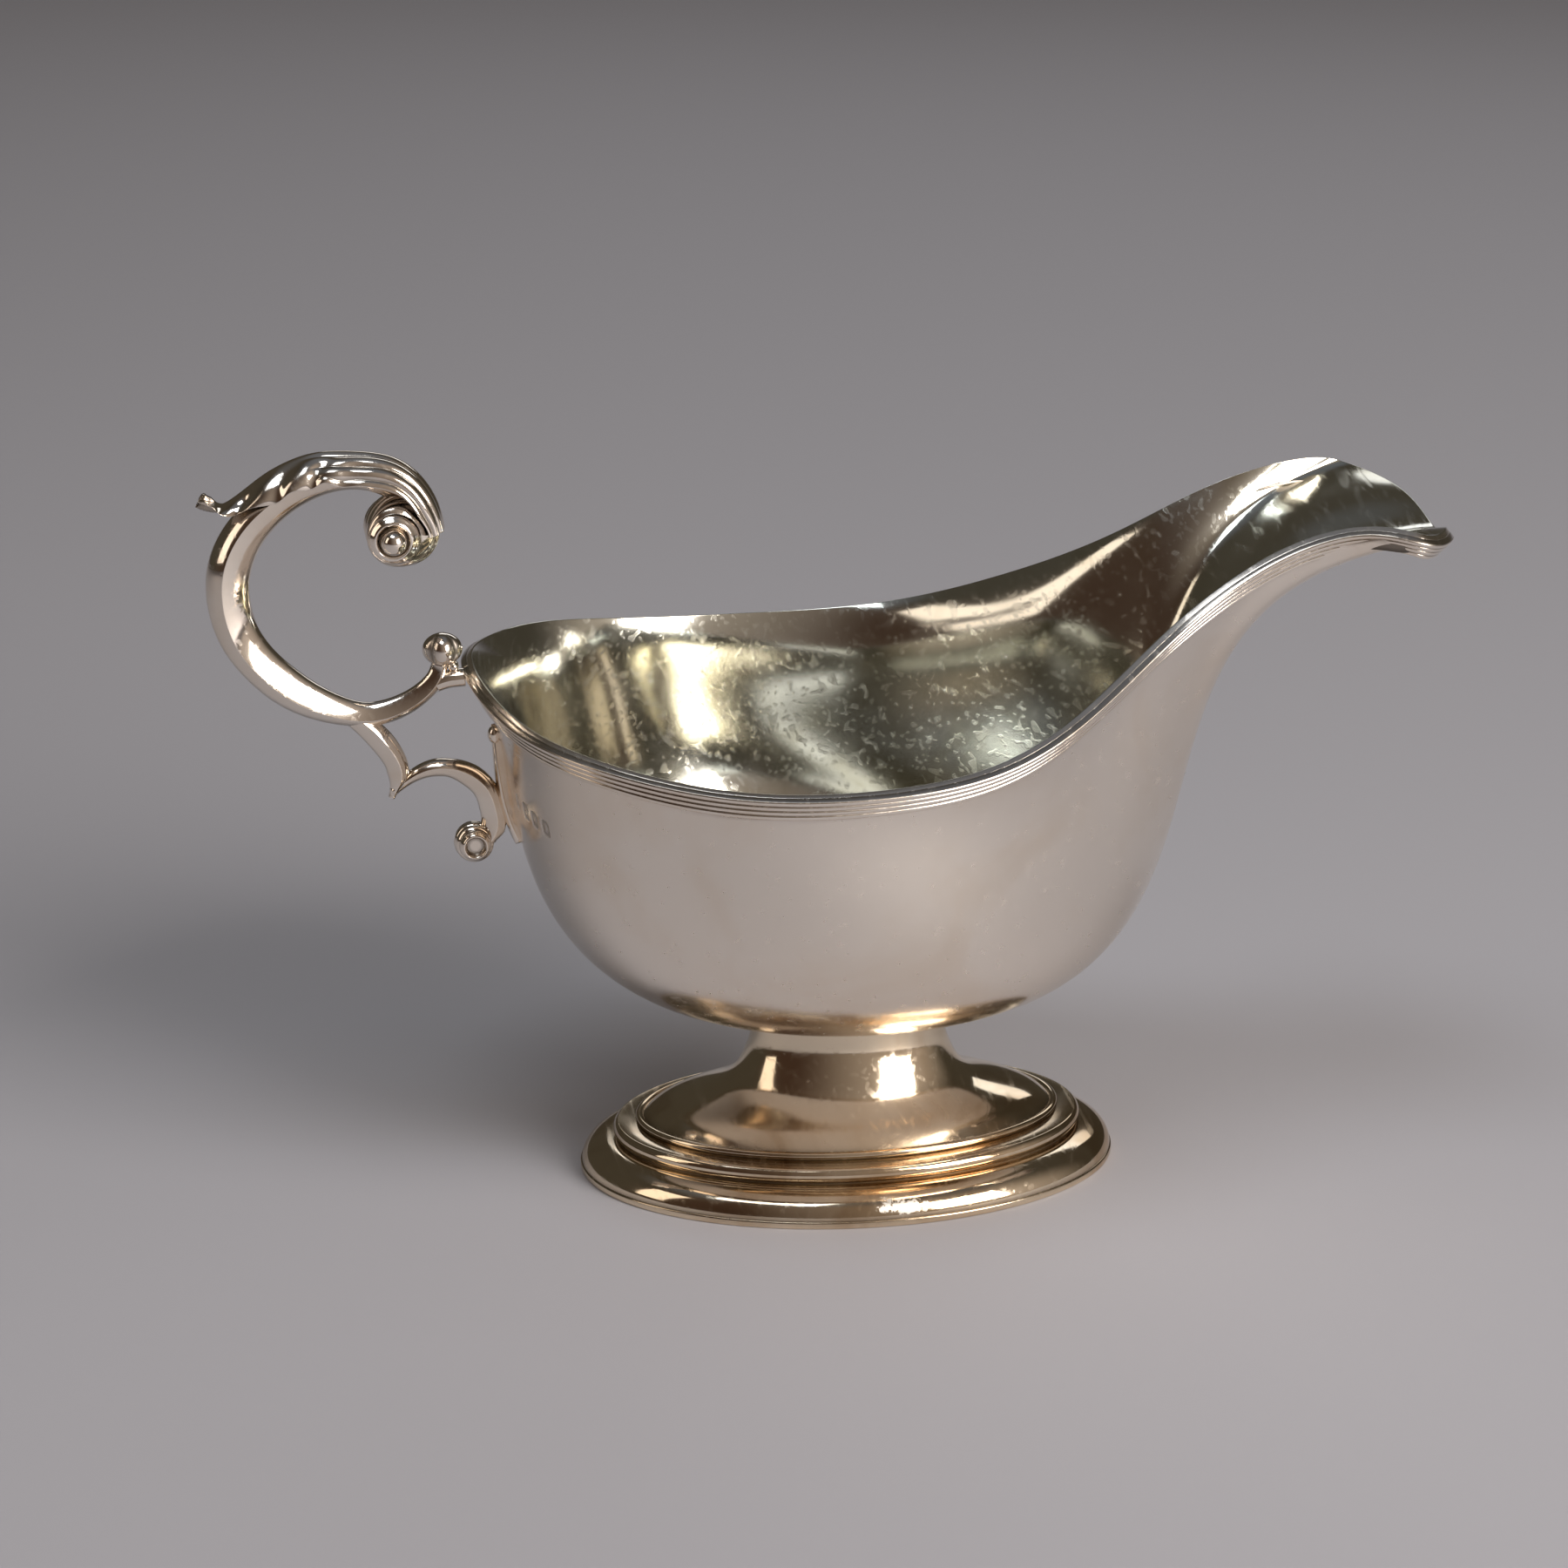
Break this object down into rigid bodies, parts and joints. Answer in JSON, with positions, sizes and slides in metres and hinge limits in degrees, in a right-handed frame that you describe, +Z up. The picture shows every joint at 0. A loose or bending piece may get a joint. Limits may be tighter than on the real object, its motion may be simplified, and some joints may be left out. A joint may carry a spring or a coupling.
{
  "type": "sauce boat",
  "caption": "Oval silver sauce boat with a wide curving spout, reeded rim wire, flying double-scroll handle with a leaf, and a waisted pedestal foot on stepped mouldings.",
  "frame": {"origin": "middle of the boat's length and width, on the surface that the foot stands on; the foot's own axis is 2.61 mm from it towards the spout", "axes": "+X towards the spout, +Z up, and XZ is the plane of symmetry"},
  "size_m": [0.176, 0.0898, 0.1081],
  "materials": {
    "bowl": "polished silver, softly worn outside, with a faint warm tarnish and fine polishing scratches inside",
    "rim_wire": "polished reeded silver wire with dark lines in its grooves",
    "foot": "polished silver with warm tarnish and a dark line under each moulding",
    "handle": "bright cast silver, dark in its crevices"
  },
  "bodies": {
    "root": {"bowl": "bowl", "rim_wire_right": "rim_wire", "rim_wire_left": "rim_wire", "foot_base_wire": "foot", "foot_ovolo_moulding": "foot", "foot_torus_moulding": "foot", "foot_bead_wire": "foot", "foot_pedestal": "foot", "handle_scroll": "handle", "handle_volute": "handle", "volute_boss_right": "handle", "volute_boss_left": "handle", "handle_leaf": "handle", "rim_bud": "handle", "rim_collar_bead": "handle", "rim_lug": "handle", "bracket_spur": "handle", "bracket_plate": "handle", "bracket_scroll": "handle", "bracket_volute": "handle"}
  },
  "joints": []
}
